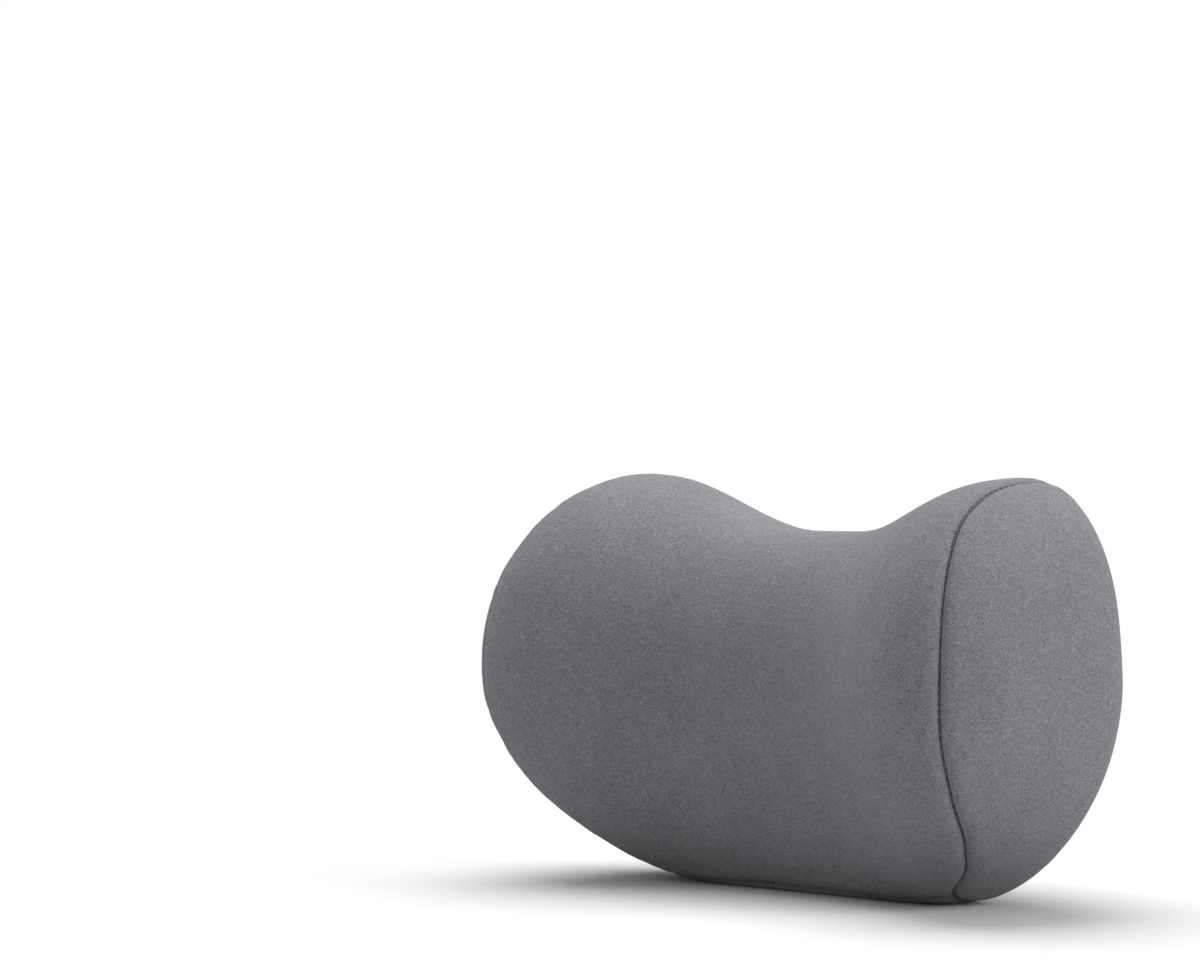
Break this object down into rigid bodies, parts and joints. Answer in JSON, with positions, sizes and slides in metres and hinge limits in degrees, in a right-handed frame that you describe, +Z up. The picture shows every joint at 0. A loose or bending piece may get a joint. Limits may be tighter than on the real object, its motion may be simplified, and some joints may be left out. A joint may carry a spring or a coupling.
{
  "type": "chair headrest attachment",
  "caption": "Saddle-shaped foam headrest pillow with a zipped velour cover and an adjustable strap with a side-release buckle.",
  "frame": {"origin": "on the flat underside, midway along the width and near the middle of the depth", "axes": "+X along the width, -Y is the face the neck rests on, +Z up"},
  "size_m": [0.2798, 0.138, 0.1616],
  "materials": {
    "velour": "short-pile grey velour",
    "foam": "moulded memory foam",
    "liner": "thin knitted liner",
    "zip_tape": "woven zip tape",
    "zip_coil": "nylon coil",
    "zip_metal": "dark enamelled zinc",
    "webbing": "elastic webbing",
    "buckle": "moulded acetal"
  },
  "bodies": {
    "pillow": {"foam_core": "foam", "liner_front": "liner", "liner_back": "liner", "cover_face_panel": "velour", "cover_left_end_panel": "velour", "cover_right_end_panel": "velour", "cover_upper_back_panel": "velour", "cover_lower_back_panel": "velour", "zip_tape_upper": "zip_tape", "zip_tape_lower": "zip_tape", "zip_coil_upper": "zip_coil", "zip_coil_lower": "zip_coil", "zip_stop_right": "zip_coil", "zip_stop_left": "zip_coil", "strap_left_webbing": "webbing", "strap_right_webbing": "webbing", "strap_patch_left": "webbing", "strap_patch_right": "webbing", "buckle_socket": "buckle", "buckle_plug": "buckle"},
    "zip_slider": {"zip_slider": "zip_metal"},
    "zip_pull_tab": {"zip_pull_tab": "zip_metal"},
    "strap_keeper": {"strap_keeper": "webbing"},
    "buckle_arm_upper": {"buckle_arm_upper": "buckle"},
    "buckle_arm_lower": {"buckle_arm_lower": "buckle"}
  },
  "joints": [
    {"name": "zip_slider_travel", "type": "hinge", "parent": "pillow", "child": "zip_slider", "pos_m": [0, -0.38537, 0.18914], "axis": [0, 0.327, 0.945], "range_deg": [0, 15.21]},
    {"name": "zip_pull_flip", "type": "hinge", "parent": "zip_slider", "child": "zip_pull_tab", "pos_m": [0.06029, 0.04992, 0.03852], "axis": [0, -0.327, -0.945], "range_deg": [0, 160]},
    {"name": "keeper_travel", "type": "hinge", "parent": "pillow", "child": "strap_keeper", "pos_m": [0.022, -0.14604, 0.08], "axis": [0, 0, 1], "range_deg": [-2.8, 2.8]},
    {"name": "buckle_upper_squeeze", "type": "hinge", "parent": "pillow", "child": "buckle_arm_upper", "pos_m": [0.0076, 0.06353, 0.0896], "axis": [0, -1, 0], "range_deg": [0, 13], "stiffness_Nm_per_rad": 0.05},
    {"name": "buckle_lower_squeeze", "type": "hinge", "parent": "pillow", "child": "buckle_arm_lower", "pos_m": [0.0076, 0.06353, 0.0704], "axis": [0, 1, 0], "range_deg": [0, 13], "stiffness_Nm_per_rad": 0.05}
  ]
}
